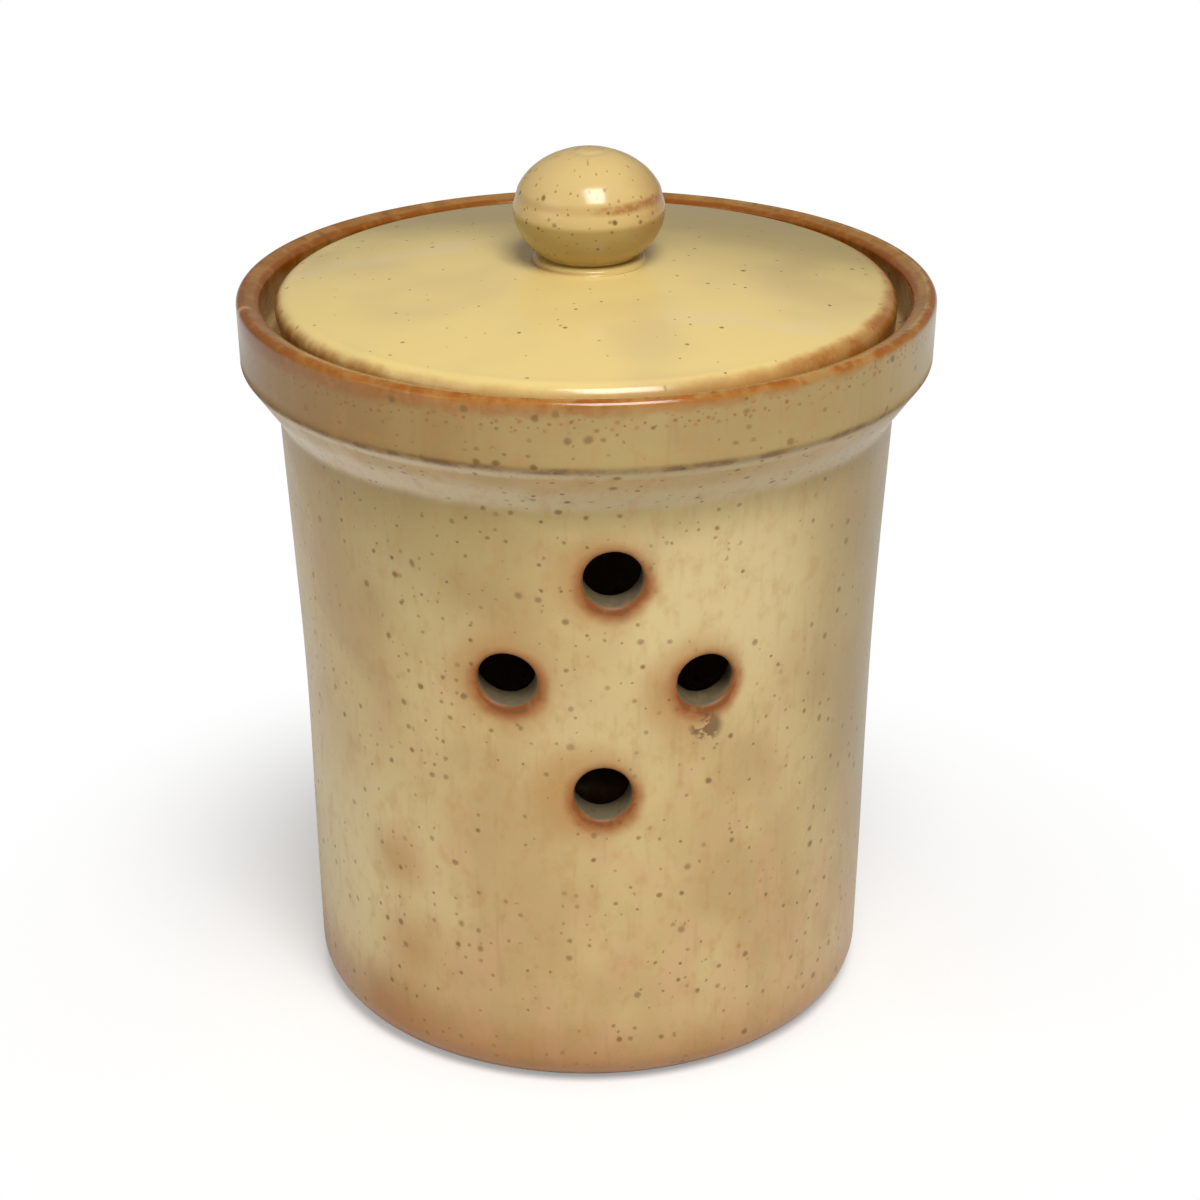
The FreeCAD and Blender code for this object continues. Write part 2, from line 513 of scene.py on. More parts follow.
class Recipe:
    """A material that is written as expressions on its nodes' outputs."""

    def __init__(self, name):
        self.material = bpy.data.materials.new(name)
        self.material.use_nodes = True
        self.nodes = self.material.node_tree.nodes
        self.links = self.material.node_tree.links
        self.nodes.clear()

    def add(self, kind, settings=None, inputs=None, output=0):
        """Adds a node, sets it up, feeds its sockets and returns one of its outputs."""
        node = self.nodes.new(kind)
        for name, value in (settings or {}).items():
            setattr(node, name, value)
        for name, value in (inputs or {}).items():
            if isinstance(value, Signal):
                self.links.new(value.socket, node.inputs[name])
            else:
                node.inputs[name].default_value = value
        return Signal(self, node.outputs[output]) if len(node.outputs) else node

    def ramp(self, value, low, high):
        """0 below low and 1 above high, with a soft change between."""
        return self.add(
            "ShaderNodeMapRange",
            {"interpolation_type": "SMOOTHSTEP"},
            {"Value": value, "From Min": low, "From Max": high, "To Min": 0.0, "To Max": 1.0},
        )

    def pick(self, share, first, second):
        """A number between two numbers."""
        return first + share * (second - first)

    def blend(self, share, first, second):
        """A colour between two colours."""
        settings = {"data_type": "RGBA", "clamp_factor": True}
        return self.add("ShaderNodeMix", settings, {0: share, 6: first, 7: second}, 2)

    def away(self, place, centre):
        """Distance from a point of the piece."""
        return self.add("ShaderNodeVectorMath", {"operation": "DISTANCE"}, {0: place, 1: centre}, "Value")


class Glaze(Recipe):
    """A recipe that is laid on coat by coat, with three noises through it from broad to fine."""

    def __init__(self, name, first_coat, patches, drift, breaking):
        super().__init__(name)
        self.coat = tuple(first_coat)
        self.place = self.add("ShaderNodeTexCoord", None, None, "Object")
        self.x = self.add("ShaderNodeSeparateXYZ", None, {"Vector": self.place}, "X")
        self.y = Signal(self, self.x.socket.node.outputs["Y"])
        self.z = Signal(self, self.x.socket.node.outputs["Z"])
        self.radius = (self.x * self.x + self.y * self.y) ** 0.5
        self.patches = self.noise(*patches)
        self.drift = self.noise(*drift)
        self.breaking = self.noise(*breaking)

    def lay(self, share, colour):
        """Lays a share of a colour over the coats so far."""
        self.coat = self.blend(share, self.coat, tuple(colour))

    def noise(self, size, detail=2.0, stretch=1.0, offset=0.0, rough=0.5):
        """Cloudy noise about 0.5, whose clouds are as big as size and stretch times as tall."""
        where = self.add(
            "ShaderNodeMapping",
            None,
            {"Vector": self.place, "Location": (offset, offset, 0.0), "Scale": (1.0, 1.0, 1.0 / stretch)},
        )
        return self.add(
            "ShaderNodeTexNoise",
            None,
            {"Vector": where, "Scale": 1.0 / size, "Detail": detail, "Roughness": rough},
        )

    def bearing(self):
        """Angle round the axis, counted from the front."""
        return self.add("ShaderNodeMath", {"operation": "ARCTAN2"}, {0: self.x, 1: 0.0 - self.y})

    def specks(self, across, up, spacing, size, share, offset=0.0):
        """Scattered soft dots of up to a size, in a share of the cells of a loose flat grid."""
        where = self.add("ShaderNodeCombineXYZ", None, {"X": across + offset, "Y": up + 2.0 * offset})
        settings = {"voronoi_dimensions": "2D"}
        inputs = {"Vector": where, "Scale": 1.0 / spacing}
        distance = self.add("ShaderNodeTexVoronoi", settings, inputs, "Distance")
        colours = Signal(self, distance.socket.node.outputs["Color"])
        lot = self.add("ShaderNodeSeparateColor", None, {"Color": colours}, 0)
        spread = Signal(self, lot.socket.node.outputs[1])
        depth = Signal(self, lot.socket.node.outputs[2])
        radius = size / spacing * (0.4 + 0.6 * spread * spread)
        edge = self.ramp(distance / radius, 1.0, 0.3)
        return edge * (0.6 + 0.4 * depth) * self.ramp(lot, 1.0 - share, 1.0 - 0.97 * share)

    def spot(self, centre, size, soft=0.5):
        """A round patch about a point of the piece, in millimetres."""
        distance = self.away(self.place, tuple(part * MM for part in centre))
        return self.ramp(distance, size * MM, size * MM * (1.0 - soft))

    def stroke(self, first, last, size, place=None):
        """A soft band round the straight line between two points, in millimetres."""
        start = Vector(first) * MM
        run = Vector(last) * MM - start
        along = tuple(run / run.length_squared)
        inputs = {0: place or self.place, 1: tuple(start)}
        offset = self.add("ShaderNodeVectorMath", {"operation": "SUBTRACT"}, inputs, "Vector")
        share = self.add("ShaderNodeVectorMath", {"operation": "DOT_PRODUCT"}, {0: offset, 1: along}, "Value")
        inputs = {0: tuple(run), "Scale": share.most(0.0).least(1.0)}
        nearest = self.add("ShaderNodeVectorMath", {"operation": "SCALE"}, inputs, "Vector")
        return self.ramp(self.away(offset, nearest) / (size * MM), 1.0, 0.2)

    def fire(self, roughness, relief):
        """Closes the recipe with its glaze shader."""
        inputs = {"Strength": 0.35, "Distance": 0.4 * MM, "Height": relief}
        normal = self.add("ShaderNodeBump", None, inputs)
        shader = self.add(
            "ShaderNodeBsdfPrincipled",
            None,
            {"Base Color": self.coat, "Roughness": roughness, "Normal": normal, "IOR": 1.5},
        )
        self.add("ShaderNodeOutputMaterial", None, {"Surface": shader})
        return self.material


# ------------------------ jar's glaze


def wall_tones(mix, colours):
    """Straw and blush clouds over the tan, paler in front, and a greenish painted shade under the collar, on
    the upper left and at both sides.
    """
    x, z, drift = mix.x, mix.z, mix.drift
    mix.lay(0.8 * mix.ramp(mix.patches, 0.42, 0.66), colours.straw)
    lower = drift + 0.4 * (mix.patches - 0.5) - 4.5 * (z - 30.0 * MM)
    mix.lay(0.55 * mix.ramp(lower, 0.42, 0.72), colours.blush)
    bright = mix.spot((18.0, -44.5, 87.0), 30.0, 0.8)
    bright = bright.most(0.6 * mix.stroke((-34.0, -35.0, 89.0), (-20.0, -44.6, 77.0), 8.0))
    mix.lay(0.75 * bright, colours.milk)
    # Painted shade: a greenish tone over the wall's upper left and in a band just below the collar's cove.
    upper_left_shade = mix.spot((-26.0, -38.0, 102.0), 34.0, 0.7)
    shaded = mix.ramp(z + 5.0 * MM * (drift - 0.5), 94.0 * MM, 101.0 * MM).most(upper_left_shade)
    mix.lay(0.45 * shaded, colours.olive_and_shade)
    paler = mix.spot((-42.0, -18.0, 30.0), 36.0, 0.8)
    paler = paler.most(0.6 * mix.spot((-2.0, -47.0, 62.0), 18.0, 0.8))
    mix.lay(0.85 * paler, colours.milk)
    # Painted shade: a greenish tone at both sides of the wall, where it turns away from the camera and the
    # lamps.
    sides = mix.ramp(abs(x + 4.0 * MM), 30.0 * MM, 47.0 * MM) * mix.ramp(z + 0.9 * x, 50.0 * MM, 90.0 * MM)
    sides = sides * mix.ramp(z, 104.0 * MM, 90.0 * MM)
    mix.lay(0.6 * sides, colours.olive_and_shade)


def collar_tones(mix, colours):
    """Ash as a painted reflection of the pale floor in the cove under the collar, and a collar that is
    greener than the wall, brown and dim towards its left, partly as painted shade.
    """
    x, z, drift = mix.x, mix.z, mix.drift
    # Painted reflection: a pale tone in the cove under the collar, strongest at the left, standing in for the
    # pale floor it faces.
    cove = mix.ramp(z + 1.2 * MM * (drift - 0.5), 100.2 * MM, 102.4 * MM)
    cove = cove * mix.ramp(z, 109.8 * MM, 108.8 * MM)
    mix.lay(cove * (0.9 - 0.5 * mix.ramp(x, -34.0 * MM, 5.0 * MM)), colours.ash_and_reflection)
    collar = mix.ramp(z, 108.8 * MM, 110.0 * MM)
    # Partly brown glaze and partly painted shade: a greenish tone and rust laid thicker over the collar's
    # left, away from the key lamp.
    brown_and_shade = mix.ramp(x + 30.0 * MM * (drift - 0.5), 10.0 * MM, -45.0 * MM)
    mix.lay(collar * (0.12 + 0.5 * brown_and_shade), colours.olive_and_shade)
    mix.lay(0.35 * collar * brown_and_shade, colours.rust)


def vent_scorch(mix, front, colours):
    """Haze, halos and bare sides of the vent holes. Returns the distance from the nearest hole's edge."""
    inputs = {0: mix.place, 1: (1.0, 0.0, 1.0)}
    flat = mix.add("ShaderNodeVectorMath", {"operation": "MULTIPLY"}, inputs, "Vector")
    hole = edge = haze = None
    for across, height, diameter in VENTS:
        bore = diameter / 2.0
        away = mix.away(flat, (across, 0.0, height)) - bore
        sunk = mix.away(flat, (across + 0.1 * MM, 0.0, height - 0.8 * MM)) - bore
        drawn = mix.away(flat, (across - 2.0 * MM, 0.0, height - 0.4 * MM))
        hole = hole.least(away) if hole else away
        edge = edge.least(sunk) if edge else sunk
        haze = haze.least(drawn) if haze else drawn
    ragged = edge + 1.8 * MM * (mix.breaking - 0.5)
    soft_haze = front * mix.ramp(haze + 7.0 * MM * (mix.patches - 0.5), 10.5 * MM, 4.5 * MM)
    mix.lay(0.65 * soft_haze, colours.caramel)
    halo = front * mix.ramp(ragged, 2.7 * MM, 0.3 * MM)
    mix.lay(0.95 * halo, colours.rust)
    rim = front * mix.ramp(ragged, 0.7 * MM, 0.2 * MM)
    mix.lay(0.5 * rim, colours.umber_and_shade)
    mix.lay(front * mix.ramp(hole, 0.25 * MM, 0.0), colours.clay)
    return hole


def blotches(mix, colours):
    """The smudge under the right vent hole and the warm blotches low on the wall."""
    smudge = mix.spot((15.2, -44.7, 63.4), 3.4) * mix.ramp(mix.breaking, 0.49, 0.55)
    mix.lay(0.75 * smudge, colours.umber_and_shade)
    for centre, size in FOOT_BLOTCHES:
        mix.lay(0.65 * mix.spot(centre, size, 1.0), colours.caramel)


def rusty_lip(mix, worn, colours):
    """Caramel over the lip and down inside it, two broken lines of rust along its crest, painted shade on the
    lip's sides and back, and chips.
    """
    x, y, z, radius = mix.x, mix.y, mix.z, mix.radius
    drift, breaking = mix.drift, mix.breaking
    grain = mix.ramp(breaking + 0.5 * (drift - 0.5), 0.36, 0.62)
    within = mix.ramp(radius, 54.0 * MM, 53.4 * MM) * mix.ramp(z, 104.0 * MM, 108.0 * MM)
    lip = mix.ramp(worn, 117.6 * MM, 120.2 * MM).most(within)
    mix.lay(0.8 * lip, colours.caramel)
    mix.lay(0.5 * lip * mix.ramp(drift, 0.44, 0.66), colours.olive_and_shade)
    brim = mix.ramp(abs(radius - 54.7 * MM + 1.6 * MM * (breaking - 0.5)), 1.1 * MM, 0.2 * MM)
    brim = brim * mix.ramp(worn, 117.2 * MM, 118.8 * MM)
    inner = mix.ramp(abs(radius - 51.8 * MM + 1.2 * MM * (drift - 0.5)), 0.9 * MM, 0.2 * MM)
    brim = brim.most(inner * mix.ramp(z, 117.0 * MM, 118.0 * MM))
    # Painted shade on the lip's sides and back, away from the lit front: it thickens the rust there and lays
    # a dark brown over it.
    lip_shade = mix.ramp(y + 0.5 * abs(x), -24.0 * MM, 8.0 * MM)
    mix.lay(brim * (0.4 + 0.55 * grain.most(lip_shade)), colours.rust)
    mix.lay(0.5 * lip * grain * (0.5 + 0.5 * lip_shade), colours.rust)
    mix.lay(0.35 * lip * lip_shade, colours.umber_and_shade)
    deep = within * mix.ramp(z + 4.0 * MM * (drift - 0.5), 119.0 * MM, 114.0 * MM)
    mix.lay(0.5 * deep, colours.straw)
    chip = mix.spot((-53.6, -8.3, 118.6), 2.0).most(mix.spot((19.1, -40.4, 2.0), 1.5))
    mix.lay(0.75 * chip, colours.bisque)


def creases(mix, colours):
    """Umber along the collar's lower edge, partly iron and partly painted shade in the crease, and a warm
    foot with a dark hem.
    """
    x, z, breaking = mix.x, mix.z, mix.breaking
    # Partly iron and partly painted shade: a dark line in the crease under the collar.
    crease = mix.ramp(abs(z - COLLAR_EDGE), 1.0 * MM, 0.2 * MM)
    mix.lay((0.3 + 0.4 * mix.ramp(breaking, 0.4, 0.6)) * crease, colours.umber_and_shade)
    warm = mix.ramp(z + 7.0 * MM * (mix.drift - 0.5) + 0.08 * x, 15.0 * MM, 1.0 * MM)
    mix.lay(0.6 * warm, colours.rust)
    hem = mix.ramp(z + 1.2 * MM * (breaking - 0.5), 1.9 * MM, 0.6 * MM)
    mix.lay(0.7 * hem, colours.umber_and_shade)


def iron_specks(mix, worn, colours):
    """Specks over the unrolled wall and across the lip, streaks, mottling and fine dust below the lip."""
    x, z, drift = mix.x, mix.z, mix.drift
    unrolled = 48.0 * MM
    lip_radius = 55.2 * MM
    lip_fold = 112.0 * MM
    across = mix.bearing() * unrolled + 1.1 * MM * (mix.breaking - 0.5)
    above = mix.add("ShaderNodeMath", {"operation": "GREATER_THAN"}, {0: z, 1: lip_fold})
    up = z + (1.0 - 2.0 * above) * (mix.radius - lip_radius) + 0.9 * MM * (drift - 0.5)
    fine = mix.specks(across, up, 2.3 * MM, 0.66 * MM, 0.04 + 0.5 * mix.ramp(drift, 0.42, 0.65))
    bold_share = 0.12 + 0.5 * mix.ramp(mix.patches, 0.42, 0.6)
    bold = mix.specks(across, up, 3.8 * MM, 0.9 * MM, bold_share, 0.013)
    crowded = mix.ramp(abs(x + 4.0 * MM), 34.0 * MM, 20.0 * MM).most(mix.ramp(z, 84.0 * MM, 94.0 * MM))
    mix.lay(fine * (0.25 + 0.4 * crowded), colours.freckle)
    streaks = mix.noise(1.2 * MM, 1.0, 8.0, 0.05)
    mix.lay(mix.ramp(streaks, 0.56, 0.8) * 0.12, colours.freckle)
    mottle = mix.noise(2.6 * MM, 3.0, 1.5, 0.31, 0.6)
    mix.lay(mix.ramp(mottle, 0.48, 0.72) * 0.3, colours.caramel)
    dusted = mix.ramp(abs(worn - 116.6 * MM), 1.6 * MM, 0.4 * MM)
    dusting = mix.specks(across, up, 1.2 * MM, 0.55 * MM, 0.8, 0.029) * dusted
    mix.lay(0.8 * dusting, colours.rust)
    blot = mix.spot((13.1, -47.8, 103.2), 1.1, 0.8)
    mix.lay(0.75 * bold.most(blot), colours.speck)


def jar_glaze(colours):
    """Tan glaze with iron speckles, rust on the lip, halos round the vents and bare clay on the foot."""
    mix = Glaze(
        "jar_glaze",
        colours.tan,
        patches=(21.0 * MM, 2.0, 1.2),
        drift=(7.0 * MM, 3.0, 1.3, 0.11),
        breaking=(4.5 * MM, 4.0, 0.8, 0.21, 0.65),
    )
    z = mix.z
    front = mix.ramp(mix.y, -20.0 * MM, -30.0 * MM)
    worn = z + 3.4 * MM * (mix.breaking - 0.5) - 0.022 * mix.x
    wall_tones(mix, colours)
    collar_tones(mix, colours)
    from_hole = vent_scorch(mix, front, colours)
    blotches(mix, colours)
    rusty_lip(mix, worn, colours)
    creases(mix, colours)
    iron_specks(mix, worn, colours)
    foot = mix.ramp(z, 0.75 * MM, 0.35 * MM) * mix.ramp(mix.radius, 45.0 * MM, 44.0 * MM)
    mix.lay(foot, colours.clay)

    soft_edge = mix.ramp(abs(z - COLLAR_EDGE), 2.0 * MM, 0.8 * MM)
    glossier = mix.ramp(z, 111.0 * MM, 117.0 * MM)
    dull = 0.24 + 0.08 * mix.drift - 0.12 * glossier + 0.3 * soft_edge + 0.5 * foot
    dull = dull + 0.25 * front * mix.ramp(from_hole, 1.2 * MM, 0.4 * MM)
    return mix.fire(dull, 0.5 * mix.noise(11.0 * MM, 1.0) + 0.06 * mix.noise(2.2 * MM, 1.0))


# ------------------------ lid's glaze


def knob_tones(mix, knob, colours):
    """A knob in tan over the cream, with painted shade on its lower half, and rust in its groove, on its
    right and round its foot.
    """
    x, z, drift, breaking = mix.x, mix.z, mix.drift, mix.breaking
    mix.lay(knob * 0.5, colours.tan)
    # Painted shade: a greenish tone over the lower half of the ball, which faces down.
    mix.lay(knob * mix.ramp(z, 132.6 * MM, 131.6 * MM) * 0.7, colours.olive_and_shade)
    groove = knob * mix.ramp(abs(z - 135.0 * MM + 0.6 * MM * (drift - 0.5)), 1.1 * MM, 0.2 * MM)
    right = mix.ramp(x + 4.0 * MM * (breaking - 0.5), -2.0 * MM, 5.0 * MM)
    mix.lay(groove * (0.12 + 0.6 * right * mix.ramp(breaking, 0.4, 0.6)), colours.rust)
    flush = knob * mix.ramp(x + 7.0 * MM * (drift - 0.5), 4.0 * MM, 12.0 * MM)
    mix.lay(flush * 0.45, colours.rust)
    foot = mix.ramp(abs(mix.radius - 8.0 * MM), 1.2 * MM, 0.4 * MM) * mix.ramp(z, 126.2 * MM, 125.2 * MM)
    mix.lay(0.5 * foot * mix.ramp(z, 124.9 * MM, 124.2 * MM), colours.rust)


def lid_edge(mix, colours):
    """Caramel and rust where the glaze runs thin round the lid's edge and under it."""
    drift, breaking, radius = mix.drift, mix.breaking, mix.radius
    reach = radius + 1.3 * MM * (breaking - 0.5) + 0.035 * mix.x.most(0.0)
    bare = mix.ramp(mix.y, -47.0 * MM, -34.0 * MM)
    edge = mix.ramp(reach, 47.9 * MM, 49.9 * MM)
    mix.lay(0.8 * edge, colours.caramel)
    grain = mix.ramp(breaking + 0.5 * (drift - 0.5), 0.36, 0.62)
    mix.lay(edge * (0.15 + 0.2 * bare + 0.4 * bare * grain), colours.rust)
    under = mix.ramp(mix.z, 117.2 * MM, 114.5 * MM) * mix.ramp(radius, 45.0 * MM, 47.0 * MM)
    mix.lay(0.5 * under, colours.rust)


def lid_specks(mix, knob, colours):
    """A few specks seen from above on the dome, and more of them, smaller, round the knob."""
    unrolled = 11.0 * MM
    across = mix.pick(knob, mix.x, mix.bearing() * unrolled) + 0.9 * MM * (mix.breaking - 0.5)
    up = mix.pick(knob, mix.y, mix.z)
    fine = mix.specks(across, up, 2.8 * MM - 1.3 * MM * knob, 0.46 * MM, 0.12 + 0.3 * knob)
    bold = mix.specks(across, up, 6.0 * MM - 2.9 * MM * knob, 0.65 * MM, 0.3 + 0.1 * knob, 0.017)
    mix.lay(0.75 * fine, colours.freckle)
    mix.lay(0.85 * bold, colours.speck)


def lid_glaze(colours):
    """Cream glaze on the dome with painted shade towards its back and right, rust on its shoulder, a few
    specks and a warmer knob.
    """
    mix = Glaze(
        "lid_glaze",
        colours.cream,
        patches=(24.0 * MM, 2.0, 1.0, 0.07),
        drift=(7.0 * MM, 3.0, 1.0, 0.19),
        breaking=(4.5 * MM, 4.0, 1.0, 0.43, 0.65),
    )
    mix.lay(0.8 * mix.ramp(mix.patches, 0.4, 0.7), colours.straw)
    # Painted shade: a greenish tone towards the lid's back and its right.
    back_shade = mix.ramp(mix.y + 22.0 * MM * (mix.patches - 0.5) + 0.35 * mix.x, -8.0 * MM, 34.0 * MM)
    mix.lay(0.75 * back_shade, colours.olive_and_shade)
    sway = mix.add("ShaderNodeCombineXYZ", None, {"Y": 12.0 * MM * (mix.drift - 0.5)})
    swayed = mix.add("ShaderNodeVectorMath", {"operation": "ADD"}, {0: mix.place, 1: sway}, "Vector")
    for first, last in WISPS:
        mix.lay(0.25 * mix.stroke(first, last, 4.6, swayed), colours.ash_and_reflection)
    knob = mix.ramp(mix.z, 125.0 * MM, 126.0 * MM) * mix.ramp(mix.radius, 13.0 * MM, 12.5 * MM)
    knob_tones(mix, knob, colours)
    lid_edge(mix, colours)
    lid_specks(mix, knob, colours)
    seat = mix.ramp(mix.z, 112.9 * MM, 112.5 * MM)
    mix.lay(seat, colours.clay)

    dull = 0.14 + 0.08 * mix.drift + 0.5 * seat
    return mix.fire(dull, 0.6 * mix.noise(14.0 * MM, 1.0) + 0.05 * mix.noise(2.4 * MM, 1.0))


# ------------------------ sections


class JarSection:
    """The jar's half section, and the two faces of the wall that its vent holes go through."""

    def __init__(self, sizes):
        floor = 7.0 * MM
        foot_depth = 1.5 * MM
        foot_inner = sizes.base_radius - 10.8 * MM
        base_inner = sizes.base_radius - 6.2 * MM
        waist_inner = sizes.waist_radius - 5.8 * MM
        mouth = sizes.shoulder_radius - 5.0 * MM
        swell = 600.0 * MM  # rounding of the wall's bend at the waist
        waist_height = WAIST_SHARE * sizes.height
        shoulder_height = SHOULDER_SHARE * sizes.height
        gallery = sizes.height - sizes.gallery_depth
        bore = sizes.lip_radius - sizes.lip_wall
        # Radius, height and rounding of each corner, from the foot out, up and back inside.
        self.corners = [
            (0.0, foot_depth, 0.0),
            (foot_inner - foot_depth, foot_depth, 0.6 * MM),
            (foot_inner, 0.0, 0.5 * MM),
            (sizes.base_radius, 0.0, 5.6 * MM),
            (sizes.waist_radius, waist_height, swell),
            (sizes.shoulder_radius, shoulder_height, 3.2 * MM),
            (sizes.lip_radius - 0.3 * MM, COLLAR_SHARE * sizes.height, 1.5 * MM),
            (sizes.lip_radius, sizes.height, 1.2 * MM),
            (bore, sizes.height - sizes.lip_drop, 0.9 * MM),
            (bore, gallery, 1.3 * MM),
            (mouth, gallery, 0.9 * MM),
            (mouth, shoulder_height, 30.0 * MM),
            (waist_inner, waist_height, swell),
            (base_inner, floor, 6.0 * MM),
            (0.0, floor, 0.0),
        ]
        self.outer = Wall(
            [
                (sizes.base_radius, 0.0),
                (sizes.waist_radius, waist_height),
                (sizes.shoulder_radius, shoulder_height),
            ]
        )
        self.inner = Wall([(base_inner, floor), (waist_inner, waist_height), (mouth, shoulder_height)])


class LidSection:
    """The lid's half section, from the knob's crown down, out over the dome and back under it."""

    def __init__(self, sizes):
        self.sizes = sizes
        self.top = LID_SEAT + sizes.edge_height + sizes.dome_rise
        self.dome_radius = (sizes.radius**2 + sizes.dome_rise**2) / (2.0 * sizes.dome_rise)
        self.neck_angle = math.acos(sizes.neck_radius / sizes.knob_radius)
        self.ring_top = self.dome(sizes.ring_radius) + 0.9 * MM
        self.centre = self.ring_top + sizes.knob_half_height * math.sin(self.neck_angle)
        self.dome_start = sizes.ring_radius + 1.2 * MM
        self.dome_end = sizes.radius - sizes.shoulder_round
        self.shoulder_centre = self.dome(self.dome_end) - sizes.shoulder_round

    def dome(self, radius):
        """The dome's height at a radius."""
        return self.top - self.dome_radius + math.sqrt(self.dome_radius**2 - radius**2)

    def ball(self, angle, swell=0.0):
        """A point of the ball, at an angle above its middle and a swell proud of it."""
        rise = math.radians(angle)
        return Vector(
            (
                (self.sizes.knob_radius + swell) * math.cos(rise),
                self.centre + (self.sizes.knob_half_height + swell) * math.sin(rise),
            )
        )

    def knob(self):
        """Nub, crown, belt and the ball down to its neck."""
        crown = self.centre + CROWN_SHARE * self.sizes.knob_half_height
        nub = NUB_RADIUS * MM
        points = [Vector((share * nub, crown + rise * MM)) for share, rise in NUB]
        points += [Vector((radius * MM, crown + rise * MM)) for radius, rise in CROWN]
        cap_angle, cap_step, cap_swell = 70.0, 2.4, 0.04 * MM
        points += [self.ball(cap_angle - step * cap_step, cap_swell) for step in range(2, 21)]
        points += [self.ball(angle, swell * MM) for angle, swell in BELT]
        belt_end = 5.0
        lowest = math.degrees(self.neck_angle)
        steps = 22
        for step in range(1, steps + 1):
            points.append(self.ball(-belt_end - (lowest - belt_end) * step / steps))
        return points

    def ring(self):
        """The small ring that the knob stands on."""
        radius = self.sizes.ring_radius
        corners = [
            (self.sizes.neck_radius, self.ring_top, 0.0),
            (radius, self.ring_top, 0.6 * MM),
            (radius, self.dome(radius), 0.25 * MM),
            (self.dome_start, self.dome(self.dome_start), 0.0),
        ]
        return rounded_outline(corners, 0.5 * MM)[1:]

    def cover(self):
        """The dome and the rounding at its edge."""
        points = []
        steps = 30
        for step in range(1, steps + 1):
            radius = self.dome_start + (self.dome_end - self.dome_start) * step / steps
            points.append(Vector((radius, self.dome(radius))))
        rounding = self.sizes.shoulder_round
        for step in range(1, 10):
            angle = math.radians(90.0 - 10.0 * step)
            points.append(
                Vector(
                    (
                        self.dome_end + rounding * math.cos(angle),
                        self.shoulder_centre + rounding * math.sin(angle),
                    )
                )
            )
        return points

    def underside(self):
        """The edge, the flat seat and the hollow under the dome."""
        radius = self.sizes.radius
        dome_wall = 6.6 * MM
        seat_width = 6.6 * MM
        hollow = radius - seat_width
        corners = [
            (radius, self.shoulder_centre, 0.0),
            (radius - 0.4 * MM, LID_SEAT, 1.0 * MM),
            (hollow, LID_SEAT, 1.0 * MM),
            (hollow - 1.2 * MM, LID_SEAT + 2.8 * MM, 2.0 * MM),
            (0.0, self.top - dome_wall, 0.0),
        ]
        return rounded_outline(corners, 1.6 * MM)[1:]

    def outline(self):
        """The whole half section."""
        return self.knob() + self.ring() + self.cover() + self.underside()


# ------------------------ operators


class STORAGE_JAR_OT_jar(bpy.types.Operator):
    """Turn the jar's wall, open its vent holes and glaze it"""

    bl_idname = "storage_jar.jar"
    bl_label = "Turn Jar"

    def execute(self, context):
        sizes = context.scene.jar_sizes
        section = JarSection(sizes)
        row = 1.45 * MM
        piece = turn_on_wheel("stoneware_jar", rounded_outline(section.corners, row), sizes.around)
        bpy.ops.object.mode_set(mode="EDIT")
        for vent in VENTS:
            pierce(piece, section.outer, section.inner, vent, sizes.vent_round, sizes.around, row)
        bpy.ops.mesh.select_all(action="SELECT")
        bpy.ops.mesh.normals_make_consistent(inside=False)
        bpy.ops.object.mode_set(mode="OBJECT")
        ceiling = sizes.height + 8.0 * MM
        wander(piece, sizes.wobble, size=42.0 * MM, floor=2.0 * MM, ceiling=ceiling)
        dress(piece, "jar", jar_glaze(context.scene.glaze_colours))
        return {"FINISHED"}


class STORAGE_JAR_OT_lid(bpy.types.Operator):
    """Turn the domed lid with its ball knob and glaze it"""

    bl_idname = "storage_jar.lid"
    bl_label = "Turn Lid"

    def execute(self, context):
        sizes = context.scene.lid_sizes
        section = LidSection(sizes)
        piece = turn_on_wheel("stoneware_lid", section.outline(), sizes.around)
        knob_foot = section.dome(sizes.ring_radius) + 0.05 * MM
        bpy.ops.object.mode_set(mode="EDIT")
        bpy.ops.mesh.select_all(action="DESELECT")
        mesh = bmesh.from_edit_mesh(piece.data)
        for vertex in mesh.verts:
            if vertex.co.z > knob_foot:
                vertex.select_set(True)
        mesh.select_flush(True)
        bmesh.update_edit_mesh(piece.data)
        bpy.ops.transform.translate(value=(sizes.knob_shift, 0.0, 0.0))
        bpy.ops.object.mode_set(mode="OBJECT")
        dress(piece, "lid", lid_glaze(context.scene.glaze_colours))
        return {"FINISHED"}


# ------------------------ studio


def panel_lamp(name, lamp_place, turn, power):
    """A soft rectangular lamp that faces the jar, at a bearing from the camera."""
    bearing, rise, distance, width, height = lamp_place
    angle = turn + math.radians(bearing)
    level = distance * math.cos(math.radians(rise))
    place = (
        level * math.sin(angle),
        -level * math.cos(angle),
        JAR_MIDDLE[2] + distance * math.sin(math.radians(rise)),
    )
    bpy.ops.object.light_add(type="AREA", location=place)
    lamp = bpy.context.object
    lamp.name = name
    lamp.data.shape = "RECTANGLE"
    lamp.data.size = width
    lamp.data.size_y = height
    lamp.data.energy = power
    lamp.rotation_euler = (Vector(JAR_MIDDLE) - Vector(place)).to_track_quat("-Z", "Y").to_euler()


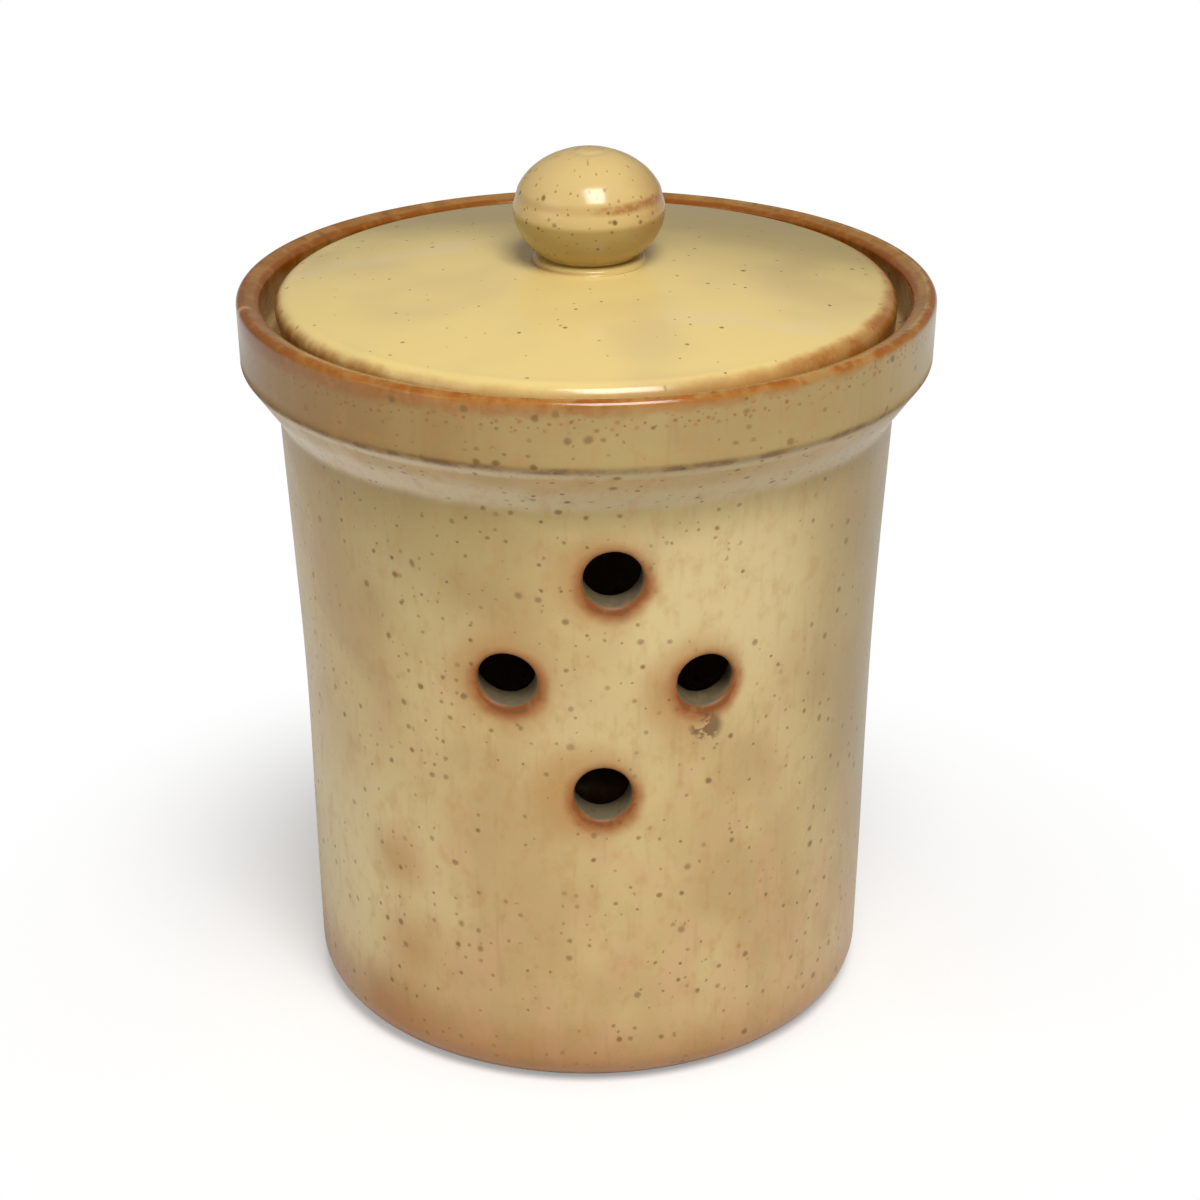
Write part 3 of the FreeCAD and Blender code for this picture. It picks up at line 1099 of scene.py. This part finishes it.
def floor_finish():
    """Pale floor that takes the jar's shadow and is plain white further out."""
    mix = Recipe("studio_floor")
    place = mix.add("ShaderNodeTexCoord", None, None, "Object")
    distance = mix.add("ShaderNodeVectorMath", {"operation": "LENGTH"}, {0: place}, "Value")
    near = mix.add("ShaderNodeBsdfDiffuse", None, {"Color": (0.72, 0.72, 0.72, 1.0)})
    seen = mix.add("ShaderNodeLightPath", None, None, "Is Camera Ray")
    mirrored = Signal(mix, seen.socket.node.outputs["Is Glossy Ray"])
    white = (1.0, 1.0, 1.0, 1.0)
    lift = mix.add("ShaderNodeEmission", None, {"Color": white, "Strength": 0.3 * seen})
    lit = mix.add("ShaderNodeAddShader", None, {0: near, 1: lift})
    glow = mix.add("ShaderNodeEmission", None, {"Color": white, "Strength": 1.0})
    share = seen.most(0.4 * mirrored) * mix.ramp(distance, 52.0 * MM, 125.0 * MM)
    surface = mix.add("ShaderNodeMixShader", None, {0: share, 1: lit, 2: glow})
    mix.add("ShaderNodeOutputMaterial", None, {"Surface": surface})
    return mix.material


class STORAGE_JAR_OT_studio(bpy.types.Operator):
    """Set up the pale floor, the soft lamps and the camera"""

    bl_idname = "storage_jar.studio"
    bl_label = "Set Up Studio"

    def execute(self, context):
        studio = context.scene.studio_settings
        turn = studio.camera_turn
        clear_selection()
        bpy.ops.mesh.primitive_plane_add(size=8.0, location=(0.0, 0.0, 0.0))
        floor = context.object
        floor.name = "studio_floor"
        floor.data.materials.append(floor_finish())

        world = bpy.data.worlds.new("studio_world")
        context.scene.world = world
        world.use_nodes = True
        background = world.node_tree.nodes["Background"]
        background.inputs["Color"].default_value = (1.0, 0.97, 0.91, 1.0)
        background.inputs["Strength"].default_value = studio.sky
        panel_lamp("key_softbox", KEY_LAMP, turn, studio.key_power)
        panel_lamp("fill_panel", FILL_LAMP, turn, studio.fill_power)

        bpy.ops.object.camera_add()
        camera = context.object
        camera.name = "studio_camera"
        camera.data.lens = studio.lens
        camera.data.sensor_width = 36.0
        camera.data.clip_start = 0.01
        camera.data.shift_x = studio.shift_across
        camera.data.shift_y = studio.shift_up
        reach = studio.camera_reach
        camera.matrix_world = (
            Matrix.Translation((reach * math.sin(turn), -reach * math.cos(turn), studio.camera_height))
            @ Matrix.Rotation(turn, 4, "Z")
            @ Matrix.Rotation(math.pi / 2.0 - studio.camera_tilt, 4, "X")
            @ Matrix.Rotation(studio.camera_roll, 4, "Z")
        )
        context.scene.camera = camera
        context.scene.view_settings.view_transform = "Standard"
        return {"FINISHED"}


class STORAGE_JAR_PT_panel(bpy.types.Panel):
    """Sidebar panel with the jar's sizes, colours and operators"""

    bl_idname = "STORAGE_JAR_PT_panel"
    bl_label = "Storage Jar"
    bl_space_type = "VIEW_3D"
    bl_region_type = "UI"
    bl_category = "Storage Jar"

    def draw(self, context):
        for label, group in SETTINGS:
            box = self.layout.box()
            box.label(text=label)
            settings = getattr(context.scene, group)
            for name in settings.__annotations__:
                box.prop(settings, name)
        for operator in OPERATORS:
            self.layout.operator(operator.bl_idname)


SETTINGS = (
    ("Jar", "jar_sizes"),
    ("Lid", "lid_sizes"),
    ("Glaze", "glaze_colours"),
    ("Studio", "studio_settings"),
)
OPERATORS = (STORAGE_JAR_OT_jar, STORAGE_JAR_OT_lid, STORAGE_JAR_OT_studio)
CLASSES = (JarSizes, LidSizes, GlazeColours, StudioSettings, *OPERATORS, STORAGE_JAR_PT_panel)


def register():
    for item in CLASSES:
        bpy.utils.register_class(item)
    bpy.types.Scene.jar_sizes = PointerProperty(type=JarSizes)
    bpy.types.Scene.lid_sizes = PointerProperty(type=LidSizes)
    bpy.types.Scene.glaze_colours = PointerProperty(type=GlazeColours)
    bpy.types.Scene.studio_settings = PointerProperty(type=StudioSettings)


def unregister():
    for _, group in SETTINGS:
        delattr(bpy.types.Scene, group)
    for item in reversed(CLASSES):
        bpy.utils.unregister_class(item)


def main():
    register()
    bpy.ops.storage_jar.jar()
    bpy.ops.storage_jar.lid()
    bpy.ops.storage_jar.studio()


if __name__ == "__main__":
    main()
